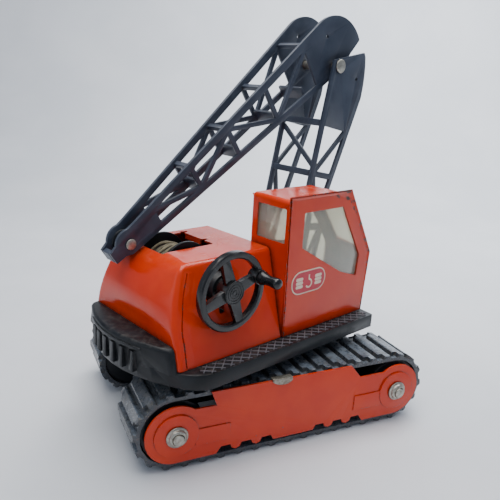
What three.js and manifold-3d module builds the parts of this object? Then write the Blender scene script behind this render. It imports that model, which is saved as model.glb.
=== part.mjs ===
// Toy crawler crane: pressed-steel house and cab on a turntable, two rubber-tracked side frames,
// a hand-cranked winch drum and a two-section lattice boom that folds back over the house.
// Millimetres. +X is the way the cab faces, +Y is to its left, +Z is up.
// The origin is on the slewing axis, at the level of the ground.
import * as THREE from 'three';
import { mergeVertices } from 'three/addons/utils/BufferGeometryUtils.js';
import Module from 'manifold-3d';

const wasm = await Module();
wasm.setup();

// ---- driving dimensions ----------------------------------------------------------------------
const TRACK_YAW_DEG = -17.7; // the tracks point this far away from the way the cab faces
const GAP = 0.3; // left between pieces that touch
const SHEET = 0.9; // pressed sheet steel

const AXLE_X = 75.5; // half the distance between the axles
const AXLE_Z = 24;
const AXLE_R = 3.175; // quarter-inch rod
const AXLE_HALF = 73.2;
const BORE_R = AXLE_R + 0.3;

const BELT_R = 24; // over the lugs
const LUG_HEIGHT = 2.2;
const BELT_INNER_R = 19.7;
const BELT_Y = 28; // inner edge
const BELT_WIDTH = 36.8;
const LUG_COUNT = 40;

const PLATE_Y = 66.5; // inner face of a side plate
const PLATE_THICK = 1.2;
const LOBE_R = 18;
const PLATE_TOP = 47.3;
const NECK_TOP = 38.3;
const PLATE_FOOT = 6.2;
const RECESS_Z = 10.4;
const BOSS_R = 13;
const BOSS_RISE = 1.2;

const TURNTABLE_R = 24;
const CHASSIS_TOP = 44.4;

const DECK_Z = 56;
const DECK_TOP = 65;
const DECK_HALF = 56.8;
const DECK_FRONT = 60.2;
const DECK_REAR = -108.5; // at the middle of the curved rear edge, at its foot
const DECK_REAR_CURVE = 0.0068; // forward per square millimetre off the middle
const DECK_REAR_LEAN = 0.11; // backward per millimetre of height
const DECK_CORNER_R = 8;
const WEIGHT_TOP = 78; // top of the counterweight
const WEIGHT_HOLLOW_HALF = 25;
const WALL_THICK = 2.4;

const HOUSE_FRONT = -19;
const HOUSE_TOP = 119;
const HOUSE_TOP_HALF = 31;
const HOUSE_FOOT_HALF = 46;
const HOUSE_REAR = -95;
const HOUSE_UPRIGHT = 82; // the rear panel stands upright up to here, then leans forward
const HOUSE_CORNER_R = 3;

const CAB_REAR = -17.8;
const CAB_RIGHT = -46.4;
const CAB_LEFT = -11.7;
const CAB_TOP = 150;
const CAB_ROOF_FRONT = 35;
const CAB_NOSE = 61;
const CAB_NOSE_Z = 106.6;
const CAB_FOOT_FRONT = 60.4;

const WINCH_X = -61;
const WINCH_Z = 104.2;
const FLANGE_R = 17.8;
const CORE_R = 9;
const DRUM_RIGHT = -4; // outer face of the right flange
const DRUM_LEFT = 23;
const SHAFT_LEFT = 40;
const WHEEL_R = 23;
const WHEEL_Y = -46; // middle of the rim
const KNOB_RADIUS = 19; // of the circle that the knob runs on
const KNOB_DEG = 18;

const BOOM_Y = 16.5; // middle plane of the boom
const FOOT = { x: 36.5, z: 78 };
const LOWER_LEAN_DEG = 11;
const LOWER_LENGTH = 152;
const LOWER_HALF = 19.7;
const LOWER_REAR = -6.5;
const FRAME_THICK = 2;
const CHORD = 4;
const UPPER_FOLD_DEG = 34.3; // below the horizontal, pointing back
const UPPER_LENGTH = 188;
const UPPER_HALF = 14.3; // at the knuckle
const TIP_HALF = 6.4;
const UPPER_FOOT = -6.2;
const HEAD_R = 27.6;
const HEAD = { u: -2.5, v: 4 };
const SHEAVE_R = 7;
const UNFOLD_DEG = 140; // from folded to locked straight
const LOCK_R = 20.6; // of the locking holes round the knuckle
const LOCK_DEG = -11.3; // of the lower section's locking hole, from its front

const knuckle = {
  x: FOOT.x + LOWER_LENGTH * Math.sin(rad(LOWER_LEAN_DEG)),
  z: FOOT.z + LOWER_LENGTH * Math.cos(rad(LOWER_LEAN_DEG)),
};

// ---- materials -------------------------------------------------------------------------------
const orangePaint = new THREE.MeshStandardMaterial({ color: 0xd8431c, roughness: 0.35, metalness: 0.1 });
const blackPlastic = new THREE.MeshStandardMaterial({ color: 0x1d1f23, roughness: 0.5, metalness: 0 });
const blackRubber = new THREE.MeshStandardMaterial({ color: 0x26282a, roughness: 0.7, metalness: 0 });
const zincSteel = new THREE.MeshStandardMaterial({ color: 0xb9bab4, roughness: 0.4, metalness: 0.9 });
const clearPlastic = new THREE.MeshStandardMaterial({
  color: 0xd9d8cc, roughness: 0.2, metalness: 0, transparent: true, opacity: 0.5,
});
const cottonCord = new THREE.MeshStandardMaterial({ color: 0xa49c83, roughness: 0.9, metalness: 0 });
const redSticker = new THREE.MeshStandardMaterial({ color: 0xc8283a, roughness: 0.4, metalness: 0 });

// ---- small helpers ---------------------------------------------------------------------------
function rad(degrees) {
  return (degrees * Math.PI) / 180;
}

function signedVolume(position, index) {
  const [a, b, c] = [new THREE.Vector3(), new THREE.Vector3(), new THREE.Vector3()];
  let total = 0;
  for (let i = 0; i < index.count; i += 3) {
    a.fromBufferAttribute(position, index.getX(i));
    b.fromBufferAttribute(position, index.getX(i + 1));
    c.fromBufferAttribute(position, index.getX(i + 2));
    total += a.dot(b.cross(c));
  }
  return total / 6;
}

// A closed geometry as a solid, whichever way its faces were wound.
function solid(geometry) {
  const bare = geometry.clone();
  bare.deleteAttribute('normal');
  bare.deleteAttribute('uv');
  const merged = mergeVertices(bare, 1e-4);
  const triangles = [];
  for (let i = 0; i < merged.index.count; i += 3) {
    const t = [merged.index.getX(i), merged.index.getX(i + 1), merged.index.getX(i + 2)];
    if (t[0] !== t[1] && t[1] !== t[2] && t[0] !== t[2]) triangles.push(t);
  }
  const flip = signedVolume(merged.attributes.position, merged.index) < 0;
  const triVerts = Uint32Array.from(triangles.flatMap(([a, b, c]) => (flip ? [a, c, b] : [a, b, c])));
  const vertProperties = Float32Array.from(merged.attributes.position.array);
  return new wasm.Manifold(new wasm.Mesh({ numProp: 3, vertProperties, triVerts }));
}

function geometryOf(manifold) {
  const mesh = manifold.getMesh();
  const geometry = new THREE.BufferGeometry();
  geometry.setAttribute('position', new THREE.BufferAttribute(new Float32Array(mesh.vertProperties), 3));
  geometry.setIndex(new THREE.BufferAttribute(new Uint32Array(mesh.triVerts), 1));
  geometry.computeVertexNormals();
  return geometry;
}

function join(...geometries) {
  const solids = geometries.map(solid);
  return geometryOf(solids.reduce((whole, next) => whole.add(next)));
}

function cut(geometry, ...cutters) {
  return geometryOf(cutters.map(solid).reduce((whole, next) => whole.subtract(next), solid(geometry)));
}

// A box between two opposite corners.
function block(x0, x1, y0, y1, z0, z1) {
  const geometry = new THREE.BoxGeometry(x1 - x0, y1 - y0, z1 - z0);
  return geometry.translate((x0 + x1) / 2, (y0 + y1) / 2, (z0 + z1) / 2);
}

function polygon(points) {
  return new THREE.Shape(points.map(([x, y]) => new THREE.Vector2(x, y)));
}

// A shape drawn in X and Z, as a plate from y0 to y1.
function plateAcross(shape, y0, y1, curveSegments = 12) {
  const geometry = new THREE.ExtrudeGeometry(shape, { depth: y1 - y0, bevelEnabled: false, curveSegments });
  return geometry.rotateX(Math.PI / 2).translate(0, y1, 0);
}

// A shape drawn in X and Y, as a plate from z0 to z1.
function plateFlat(shape, z0, z1, curveSegments = 16) {
  const geometry = new THREE.ExtrudeGeometry(shape, { depth: z1 - z0, bevelEnabled: false, curveSegments });
  return geometry.translate(0, 0, z0);
}

// A solid of revolution about the Y axis from [radius, y] points.
function turned(points, segments = 32) {
  const lathe = new THREE.LatheGeometry(points.map(([r, y]) => new THREE.Vector2(r, y)), segments);
  return geometryOf(solid(lathe));
}

// A plain rod along Y.
function rod(radius, y0, y1, segments = 24) {
  const geometry = new THREE.CylinderGeometry(radius, radius, y1 - y0, segments);
  return geometry.translate(0, (y0 + y1) / 2, 0);
}

// A rivet along Y with a low domed head past each end of the stretch y0 to y1.
function headedPin(radius, headR, headHeight, y0, y1, segments = 16) {
  return turned([
    [0, y0 - headHeight], [headR * 0.8, y0 - headHeight * 0.9], [headR, y0 - headHeight * 0.5], [headR, y0],
    [radius, y0], [radius, y1],
    [headR, y1], [headR, y1 + headHeight * 0.5], [headR * 0.8, y1 + headHeight * 0.9], [0, y1 + headHeight],
  ], segments);
}

// A closed skin over convex rings of equal length, from the lowest to the highest.
function loft(rings) {
  const count = rings[0].length;
  const index = [];
  for (let level = 0; level < rings.length - 1; level += 1) {
    for (let i = 0; i < count; i += 1) {
      const [a, b] = [level * count + i, level * count + ((i + 1) % count)];
      index.push(a, b + count, b, a, a + count, b + count);
    }
  }
  const top = (rings.length - 1) * count;
  for (let i = 1; i < count - 1; i += 1) index.push(0, i, i + 1, top, top + i + 1, top + i);
  const geometry = new THREE.BufferGeometry();
  geometry.setAttribute('position', new THREE.Float32BufferAttribute(rings.flat(2), 3));
  geometry.setIndex(index);
  return geometry;
}

// Points round the rear of a ring, from its right side to its left, with rounded corners.
function roundTheRear(half, radius, rearAt, z) {
  const straight = half - radius;
  const corner = (side, degrees) => {
    const a = rad(degrees);
    const y = side * (straight + radius * Math.sin(a));
    return [rearAt(y) + radius * (1 - Math.cos(a)), y, z];
  };
  const shares = [-0.85, -0.65, -0.45, -0.22, 0, 0.22, 0.45, 0.65, 0.85];
  const middle = shares.map((t) => [rearAt(t * straight), t * straight, z]);
  return [
    ...[90, 60, 30, 0].map((degrees) => corner(-1, degrees)),
    ...middle,
    ...[0, 30, 60, 90].map((degrees) => corner(1, degrees)),
  ];
}

// How far a rounded top edge has drawn in at a height.
function edgeInset(z, top, radius) {
  const rise = THREE.MathUtils.clamp((z - top + radius) / radius, 0, 0.995);
  return radius * (1 - Math.sqrt(1 - rise ** 2));
}

function part(name, geometry, material) {
  const mesh = new THREE.Mesh(geometry, material);
  mesh.name = name;
  return mesh;
}

// ---- undercarriage ---------------------------------------------------------------------------
// A point on the track's loop: s runs along the pitch line, r is the distance from the axle line.
function trackPoint(s, r) {
  const straight = 2 * AXLE_X;
  const bend = Math.PI * BELT_R;
  const d = ((s % (2 * (straight + bend))) + 2 * (straight + bend)) % (2 * (straight + bend));
  if (d < straight) return [-AXLE_X + d, AXLE_Z - r];
  if (d < straight + bend) {
    const a = (d - straight) / BELT_R - Math.PI / 2;
    return [AXLE_X + r * Math.cos(a), AXLE_Z + r * Math.sin(a)];
  }
  if (d < 2 * straight + bend) return [AXLE_X - (d - straight - bend), AXLE_Z + r];
  const a = (d - 2 * straight - bend) / BELT_R + Math.PI / 2;
  return [-AXLE_X + r * Math.cos(a), AXLE_Z + r * Math.sin(a)];
}

function trackBelt() {
  const length = 2 * (2 * AXLE_X + Math.PI * BELT_R);
  const pitch = length / LUG_COUNT;
  const root = BELT_R - LUG_HEIGHT;
  const outline = [];
  for (let lug = 0; lug < LUG_COUNT; lug += 1) {
    const s = lug * pitch;
    outline.push(trackPoint(s, root), trackPoint(s + 0.5 * pitch, root));
    outline.push(trackPoint(s + 0.56 * pitch, BELT_R), trackPoint(s + 0.94 * pitch, BELT_R));
  }
  const inside = [];
  for (let step = 0; step < 2 * LUG_COUNT; step += 1) inside.push(trackPoint((step * pitch) / 2, BELT_INNER_R));
  const shape = polygon(outline);
  shape.holes.push(polygon(inside));
  return plateAcross(shape, BELT_Y, BELT_Y + BELT_WIDTH);
}

// The lower edge of a side plate from the middle to one axle: a foot, two roller bumps and recesses.
function plateFootPoints(towards) {
  const points = [[14, PLATE_FOOT + 1], [15.6, RECESS_Z]];
  for (const middle of [25.2, 38.6]) {
    for (const degrees of [180, 135, 90, 45, 0]) {
      const a = rad(degrees);
      points.push([middle + 3.6 * Math.cos(a), RECESS_Z - 3.6 * Math.sin(a)]);
    }
  }
  points.push([48, RECESS_Z], [51, PLATE_FOOT]);
  const signed = points.map(([x, z]) => [x * towards, z]);
  return towards > 0 ? signed : signed.reverse();
}

// The right-hand side plate. Its raised middle has a steep rear end and a sloped front end.
function sidePlate() {
  const shape = new THREE.Shape();
  const neck = Math.asin((NECK_TOP - AXLE_Z) / LOBE_R);
  const start = [-AXLE_X, AXLE_Z - LOBE_R];
  shape.moveTo(...start);
  for (const point of [...plateFootPoints(-1), ...plateFootPoints(1)]) shape.lineTo(...point);
  shape.lineTo(AXLE_X, AXLE_Z - LOBE_R);
  shape.absarc(AXLE_X, AXLE_Z, LOBE_R, -Math.PI / 2, Math.PI - neck, false);
  for (const point of [[46.5, NECK_TOP], [38.8, PLATE_TOP], [-55.3, PLATE_TOP], [-51.8, NECK_TOP]]) {
    shape.lineTo(...point);
  }
  shape.absarc(-AXLE_X, AXLE_Z, LOBE_R, neck, (3 * Math.PI) / 2, false);
  const outer = -(PLATE_Y + PLATE_THICK);
  const pieces = [plateAcross(shape, outer, -PLATE_Y, 20)];
  for (const end of [-1, 1]) {
    const boss = rod(BOSS_R, outer - BOSS_RISE, -PLATE_Y, 32).translate(end * AXLE_X, 0, AXLE_Z);
    const [near, far] = [43 * end, 64 * end].sort((a, b) => a - b);
    const bar = block(near, far, outer - 0.8, -PLATE_Y, 15.3, 25.5);
    pieces.push(boss, bar);
  }
  const bores = [-1, 1].map((end) => rod(BORE_R, outer - 5, -PLATE_Y + 5).translate(end * AXLE_X, 0, AXLE_Z));
  return cut(join(...pieces), ...bores);
}

function trackWheel() {
  const y0 = BELT_Y + 1.5;
  const y1 = BELT_Y + BELT_WIDTH - 1.5;
  const rim = BELT_INNER_R - GAP;
  return turned([
    [BORE_R, y0], [rim, y0], [rim, y0 + 10], [rim - 3, y0 + 11], [rim - 3, y1 - 11], [rim, y1 - 10], [rim, y1],
    [15.5, y1], [15.5, y1 - 3], [7, y1 - 3], [7, y1], [BORE_R, y1], [BORE_R, y0],
  ], 28);
}

function capNut() {
  const y = PLATE_Y + PLATE_THICK + BOSS_RISE + GAP;
  return turned([
    [BORE_R, y], [6.4, y], [6.4, y + 0.8], [5.2, y + 1.1], [5, y + 2.4], [4.2, y + 3], [BORE_R, y + 3], [BORE_R, y],
  ], 20);
}

function chassis() {
  const skirt = new THREE.Shape();
  skirt.moveTo(-AXLE_X, AXLE_Z - 9);
  skirt.lineTo(AXLE_X, AXLE_Z - 9);
  skirt.absarc(AXLE_X, AXLE_Z, 9, -Math.PI / 2, Math.PI / 2 - 0.2, false);
  for (const point of [[60, CHASSIS_TOP], [-60, CHASSIS_TOP]]) skirt.lineTo(...point);
  skirt.absarc(-AXLE_X, AXLE_Z, 9, Math.PI / 2 + 0.2, (3 * Math.PI) / 2, false);
  const body = plateAcross(skirt, -26, 26, 14);
  const hollow = block(-90, 90, -23.6, 23.6, 0, 42);
  const bores = [-1, 1].map((end) => rod(BORE_R, -40, 40).translate(end * AXLE_X, 0, AXLE_Z));
  const pivotHole = rod(4.4, 30, 60).rotateX(Math.PI / 2);
  return cut(body, hollow, ...bores, pivotHole);
}

// A sheet steel hanger from the chassis, under the belt's top run and folded over a side plate.
function plateHanger() {
  const [x0, x1] = [-17.3, -4.4];
  const inside = -(BELT_Y + BELT_WIDTH + GAP);
  const outside = -(PLATE_Y + PLATE_THICK + GAP);
  const top = PLATE_TOP + GAP + SHEET;
  const arm = block(x0, x1, inside - SHEET, -26 - GAP, 40.4, 40.4 + SHEET);
  const riser = block(x0, x1, inside - SHEET, inside, 40.4, top);
  const fold = block(x0, x1, outside - SHEET, inside, top - SHEET, top);
  const tongue = new THREE.Shape();
  tongue.moveTo(x0, top);
  tongue.lineTo(x0, top - 1.6);
  tongue.bezierCurveTo(x0 + 3, top - 4.4, x1 - 3, top - 5.4, x1, top - 2.2);
  tongue.lineTo(x1, top);
  return join(arm, riser, fold, plateAcross(tongue, outside - SHEET, outside));
}

// A flat ring round the slewing axis.
function ring(inner, outer, z0, z1, segments = 40) {
  return turned([[inner, z0], [outer, z0], [outer, z1], [inner, z1], [inner, z0]], segments).rotateX(Math.PI / 2);
}

function slewPivot() {
  return headedPin(4, 8, 2, 41.7, DECK_TOP + GAP).rotateX(Math.PI / 2);
}

function buildUndercarriage() {
  const group = new THREE.Group();
  group.rotation.z = rad(TRACK_YAW_DEG);
  group.add(part('chassis', chassis(), blackPlastic));
  group.add(part('turntable_ring', ring(4.4, TURNTABLE_R, CHASSIS_TOP + GAP, DECK_Z - GAP), blackPlastic));
  group.add(part('slew_pivot', slewPivot(), zincSteel));

  for (const [side, turn] of [['right', 0], ['left', Math.PI]]) {
    group.add(part(`side_plate_${side}`, sidePlate().rotateZ(turn), orangePaint));
    group.add(part(`plate_hanger_${side}`, plateHanger().rotateZ(turn), zincSteel));
    group.add(part(`track_belt_${side}`, trackBelt().rotateZ(Math.PI - turn), blackRubber));
  }
  for (const [end, x] of [['front', AXLE_X], ['rear', -AXLE_X]]) {
    const axle = part(`${end}_axle`, rod(AXLE_R, -AXLE_HALF, AXLE_HALF), zincSteel);
    axle.position.set(x, 0, AXLE_Z);
    group.add(axle);
    for (const [side, turn] of [['right', Math.PI], ['left', 0]]) {
      const wheel = part(`${end}_track_wheel_${side}`, trackWheel().rotateZ(turn), blackPlastic);
      const nut = part(`${end}_cap_nut_${side}`, capNut().rotateZ(turn), zincSteel);
      for (const piece of [wheel, nut]) {
        piece.position.set(x, 0, AXLE_Z);
        group.add(piece);
      }
    }
  }
  return group;
}

// ---- deck and counterweight ------------------------------------------------------------------
function deckRearX(y, z) {
  return DECK_REAR + DECK_REAR_CURVE * y ** 2 - DECK_REAR_LEAN * (z - DECK_Z);
}

// The deck's outline at one height, drawn in by an even inset.
function deckRing(z, inset) {
  const half = DECK_HALF - inset;
  const front = [1, 0.5, 0, -0.5, -1].map((t) => [DECK_FRONT - inset + 4 * (1 - t ** 2), t * half, z]);
  return [...roundTheRear(half, DECK_CORNER_R, (y) => deckRearX(y, z) + inset, z), ...front];
}

// Half the house's width at one height.
function houseHalf(z) {
  return THREE.MathUtils.mapLinear(z, DECK_TOP, HOUSE_TOP, HOUSE_FOOT_HALF, HOUSE_TOP_HALF);
}

// The block behind the house: curved at the back, straight along the house.
function weightRing(z, inset, widest = Infinity) {
  const edge = edgeInset(z, WEIGHT_TOP, 2.5) + inset;
  const half = Math.min(houseHalf(Math.max(z, DECK_TOP)) - 1 - edge, widest);
  const front = HOUSE_REAR - GAP - inset;
  const rear = (y) => Math.min(deckRearX(y, z) + edge, front - 1 - HOUSE_CORNER_R);
  return [...roundTheRear(half, HOUSE_CORNER_R, rear, z), [front, half, z], [front, -half, z]];
}

function counterweight() {
  return loft([DECK_TOP - 1, 71, 75.5, 76.5, 77.3, 77.8, WEIGHT_TOP].map((z) => weightRing(z, 0)));
}

// Plain upright bars under a rib, on the counterweight's outer face.
function counterweightBars() {
  const bars = [];
  for (let y = -20; y <= 20; y += 8) {
    bars.push(block(deckRearX(y, 72) - 0.9, deckRearX(y, 60) + 1.6, y - 2, y + 2, 60, 72));
  }
  const rib = [];
  for (let y = -26; y <= 26; y += 4) {
    rib.push([deckRearX(y, 75) - 0.7, y]);
    rib.unshift([deckRearX(y, 75) + 1.6, y]);
  }
  return [...bars, plateFlat(polygon(rib), 73.6, 75.2)];
}

function deck() {
  const tray = loft([deckRing(DECK_Z, 0), deckRing(DECK_TOP, 0)]);
  const hub = rod(TURNTABLE_R + 4, DECK_Z, DECK_TOP - 1, 40).rotateX(Math.PI / 2);
  const ribs = [
    block(-100, 60, -1.5, 1.5, DECK_Z + 1, DECK_TOP - 1),
    block(-1.5, 1.5, -55, 55, DECK_Z + 1, DECK_TOP - 1),
  ];
  const hollows = [
    loft([deckRing(DECK_Z - 2, 2.6), deckRing(DECK_TOP - 3, 2.6)]),
    loft([DECK_TOP - 4, WEIGHT_TOP - 3].map((z) => weightRing(z, WALL_THICK, WEIGHT_HOLLOW_HALF))),
  ];
  const shell = cut(join(tray, counterweight(), ...counterweightBars()), ...hollows);
  return cut(join(shell, hub, ...ribs), rod(4.4, 40, 80).rotateX(Math.PI / 2));
}

// ---- house -----------------------------------------------------------------------------------
// The rear panel, drawn in at the top by a bend that is wider at the middle than at the corners.
function houseRear(y, z, inset) {
  const share = Math.min(Math.abs(y) / houseHalf(z), 1);
  const lean = 0.022 * Math.max(0, z - HOUSE_UPRIGHT) ** 1.7;
  const swell = 2.4 * Math.sin(Math.PI * THREE.MathUtils.clamp((z - 84) / 28, 0, 1)) * (1 - share ** 2);
  return HOUSE_REAR + lean - swell + edgeInset(z, HOUSE_TOP, 9 - 5 * share ** 3) + inset;
}

// One level of the house, with its front edge last.
function houseRing(z, inset) {
  const half = houseHalf(z) - edgeInset(z, HOUSE_TOP, 2.5) - inset;
  const front = HOUSE_FRONT - inset;
  const rear = roundTheRear(half, HOUSE_CORNER_R, (y) => houseRear(y, z, inset), z - inset);
  return [...rear, [front, half, z - inset], [front, -half, z - inset]];
}

function houseSolid(inset, foot) {
  const levels = [foot, 82, 87, 92, 97, 102, 106, 110, 112.5, 114.5, 116.2, 117.4, 118.3, HOUSE_TOP];
  return loft(levels.map((z) => houseRing(z, inset)));
}

function houseShell() {
  const shell = cut(houseSolid(0, DECK_TOP + GAP), houseSolid(SHEET, DECK_TOP - 6));
  const opening = block(-80.4, -42.6, -8, 24, 100, 130);
  const shaftHole = rod(4, 20, 60).translate(WINCH_X, 0, WINCH_Z);
  const hubHole = rod(11.2, -60, -20, 32).translate(WINCH_X, 0, WINCH_Z);
  const keyNotch = block(WINCH_X - 1.6, WINCH_X + 1.6, -60, -20, WINCH_Z - 15, WINCH_Z - 9);
  const lip = block(-43.4, -42.6 + 0.4, 7, 22, HOUSE_TOP - 4, HOUSE_TOP - 0.4);
  return join(cut(shell, opening, shaftHole, hubHole, keyNotch), lip);
}

// ---- cab -------------------------------------------------------------------------------------
const cabProfile = [
  [CAB_REAR, DECK_TOP + GAP], [CAB_FOOT_FRONT, DECK_TOP + GAP], [CAB_NOSE, CAB_NOSE_Z],
  [CAB_ROOF_FRONT, CAB_TOP], [CAB_REAR, CAB_TOP],
];
const sideWindow = [[-7, 120], [33, 97.5], [51, 91.5], [52, 107.5], [29.5, 142.6], [-7, 142.6]];
const WINDSCREEN_MARGIN = 4.5;

// The cab's side outline drawn in by an even inset, open at the foot.
function cabPrism(inset, foot) {
  const slope = Math.atan2(CAB_TOP - CAB_NOSE_Z, CAB_NOSE - CAB_ROOF_FRONT);
  const pull = inset / Math.sin(slope);
  const profile = [
    [CAB_REAR + inset, foot], [CAB_FOOT_FRONT - inset, foot], [CAB_NOSE - inset, CAB_NOSE_Z],
    [CAB_ROOF_FRONT - pull + inset / Math.tan(slope), CAB_TOP - inset], [CAB_REAR + inset, CAB_TOP - inset],
  ];
  return plateAcross(polygon(profile), CAB_RIGHT + inset, CAB_LEFT - inset);
}

function windscreenCutter() {
  const along = new THREE.Vector2(CAB_NOSE - CAB_ROOF_FRONT, CAB_NOSE_Z - CAB_TOP);
  const length = along.length();
  along.normalize();
  const at = (distance, depth) => [
    CAB_ROOF_FRONT + along.x * distance - along.y * depth,
    CAB_TOP + along.y * distance + along.x * depth,
  ];
  const corners = [at(4, -4), at(length - 3, -4), at(length - 3, 4), at(4, 4)];
  return plateAcross(polygon(corners), CAB_RIGHT + WINDSCREEN_MARGIN, CAB_LEFT - WINDSCREEN_MARGIN);
}

function cabShell() {
  const shell = cut(cabPrism(0, cabProfile[0][1]), cabPrism(SHEET, DECK_TOP - 5));
  const sides = plateAcross(polygon(sideWindow), CAB_RIGHT - 5, CAB_LEFT + 5);
  const rear = block(CAB_REAR - 5, CAB_REAR + 5, -42.6, -17.4, 123, 144.8);
  return cut(shell, sides, rear, windscreenCutter());
}

// One clear moulding behind all four windows.
function cabGlazing() {
  const outer = SHEET + GAP;
  const shell = cut(cabPrism(outer, 84), cabPrism(outer + 1, 80));
  return cut(shell, block(CAB_REAR - 5, CAB_NOSE + 5, CAB_RIGHT - 5, CAB_LEFT + 5, CAB_TOP - 3, CAB_TOP + 5));
}

// A plain rounded sticker on the door.
function doorBadge() {
  const shape = new THREE.Shape();
  shape.absarc(10, 0, 7.5, -Math.PI / 2, Math.PI / 2, false);
  shape.absarc(-6, 0, 7.5, Math.PI / 2, (3 * Math.PI) / 2, false);
  return plateAcross(shape, CAB_RIGHT - GAP - 0.3, CAB_RIGHT - GAP, 10).translate(0, 0, 98);
}

// ---- winch -----------------------------------------------------------------------------------
function winchDrum() {
  const bore = 3.3;
  return turned([
    [bore, -39.4], [8, -39.4], [8, DRUM_RIGHT], [FLANGE_R, DRUM_RIGHT], [FLANGE_R, DRUM_RIGHT + 2],
    [CORE_R, DRUM_RIGHT + 2], [CORE_R, DRUM_LEFT - 2], [FLANGE_R, DRUM_LEFT - 2], [FLANGE_R, DRUM_LEFT],
    [bore, DRUM_LEFT], [bore, -39.4],
  ], 36);
}

function winchCord() {
  const [y0, y1] = [DRUM_RIGHT + 2 + GAP, DRUM_LEFT - 2 - GAP];
  return turned([[CORE_R + GAP, y0], [12.2, y0], [13.2, (y0 + y1) / 2], [12.2, y1], [CORE_R + GAP, y1],
    [CORE_R + GAP, y0]], 32);
}

function crankWheel() {
  const [y0, y1] = [WHEEL_Y - 2.5, WHEEL_Y + 2.5];
  const rim = turned([
    [WHEEL_R - 4, y0 + 0.8], [WHEEL_R - 3.2, y0], [WHEEL_R - 0.8, y0], [WHEEL_R, y0 + 0.8],
    [WHEEL_R, y1 - 0.8], [WHEEL_R - 0.8, y1], [WHEEL_R - 3.2, y1], [WHEEL_R - 4, y1 - 0.8],
    [WHEEL_R - 4, y0 + 0.8],
  ], 40);
  const hub = rod(6.8, y0 - 0.6, y1 + 3.6, 32);
  const spokes = [0, 1, 2, 3].map((quarter) => {
    const taper = polygon([[4, -3.6], [WHEEL_R - 2.5, -2.4], [WHEEL_R - 2.5, 2.4], [4, 3.6]]);
    return plateAcross(taper, y0 + 0.9, y1 - 1.1).rotateY(-rad(KNOB_DEG + 90 * quarter));
  });
  const boss = rod(4.4, y0 - 1.6, y1, 24).translate(KNOB_RADIUS, 0, 0).rotateY(-rad(KNOB_DEG));
  const bore = rod(3.3, y0 + 2, y1 + 5, 24);
  const pinHole = rod(1.5, y0 - 3, y1 - 1.5, 16).translate(KNOB_RADIUS, 0, 0).rotateY(-rad(KNOB_DEG));
  return cut(join(rim, hub, ...spokes, boss), bore, pinHole);
}

// The knob is closed at its outer end, so the pin it turns on is hidden.
function crankKnob() {
  const y = WHEEL_Y - 4.1 - GAP;
  return turned([
    [1.5, y], [3.9, y], [4.1, y - 1.5], [3.1, y - 4], [2.8, y - 8], [3.3, y - 12], [3, y - 13.6], [1.8, y - 14.4],
    [0, y - 14.6], [0, y - 11], [1.5, y - 11], [1.5, y],
  ], 24);
}

function knobPin() {
  return rod(1.2, WHEEL_Y - 4.1 - 10.8, WHEEL_Y + 0.8, 16);
}

function addWinch(crane) {
  const winch = new THREE.Group();
  winch.position.set(WINCH_X, 0, WINCH_Z);
  winch.add(part('winch_shaft', rod(3, WHEEL_Y - 0.2, SHAFT_LEFT), zincSteel));
  const [y0, y1] = [SHAFT_LEFT - 2.8, SHAFT_LEFT - 1.3];
  const nut = turned([[3.3, y0], [6, y0], [5, y1], [3.3, y1], [3.3, y0]], 24);
  winch.add(part('shaft_push_nut', nut, zincSteel));
  winch.add(part('winch_drum', winchDrum(), blackPlastic));
  winch.add(part('winch_cord', winchCord(), cottonCord));
  winch.add(part('crank_wheel', crankWheel(), blackPlastic));
  const knob = new THREE.Group();
  knob.position.set(KNOB_RADIUS * Math.cos(rad(KNOB_DEG)), 0, KNOB_RADIUS * Math.sin(rad(KNOB_DEG)));
  knob.add(part('crank_knob', crankKnob(), blackPlastic));
  knob.add(part('knob_pin', knobPin(), zincSteel));
  winch.add(knob);
  crane.add(winch);
}

// ---- boom ------------------------------------------------------------------------------------
// The two openings of one braced bay with corners a, b, c, d in order. The brace runs from a to c.
function braceOpenings([a, b, c, d], width) {
  return [b, d].map((free) => {
    const [ax, az] = [a[0] - free[0], a[1] - free[1]];
    const [cx, cz] = [c[0] - free[0], c[1] - free[1]];
    const depth = Math.abs(ax * cz - az * cx) / Math.hypot(ax - cx, az - cz);
    const keep = 1 - width / 2 / depth;
    return [free, [free[0] + ax * keep, free[1] + az * keep], [free[0] + cx * keep, free[1] + cz * keep]];
  });
}

function disc(x, y, r) {
  const shape = new THREE.Shape();
  shape.absarc(x, y, r, 0, 2 * Math.PI, false);
  return shape;
}

// A plate across the crane with openings through it.
function piercedPlate(shape, openings, y0, y1) {
  return cut(plateAcross(shape, y0, y1), ...openings.map((opening) => plateAcross(opening, y0 - 1, y1 + 1, 8)));
}

// Half the distance over the upper section's frames, at a distance u from the knuckle.
function upperHalf(u) {
  return UPPER_HALF + ((TIP_HALF - UPPER_HALF) * u) / UPPER_LENGTH;
}

function upperTop(u) {
  return 29.9 - 0.1153 * u;
}

// The lower section's front edge, at a distance u from the foot pin.
function lowerFront(u) {
  return 4.4 + 0.1876 * u;
}

const upperBays = [[20, 58.5], [61.5, 96], [99, 130], [133, 165]];
const lowerBays = [[79, 111], [43, 76], [20, 40]];

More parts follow.
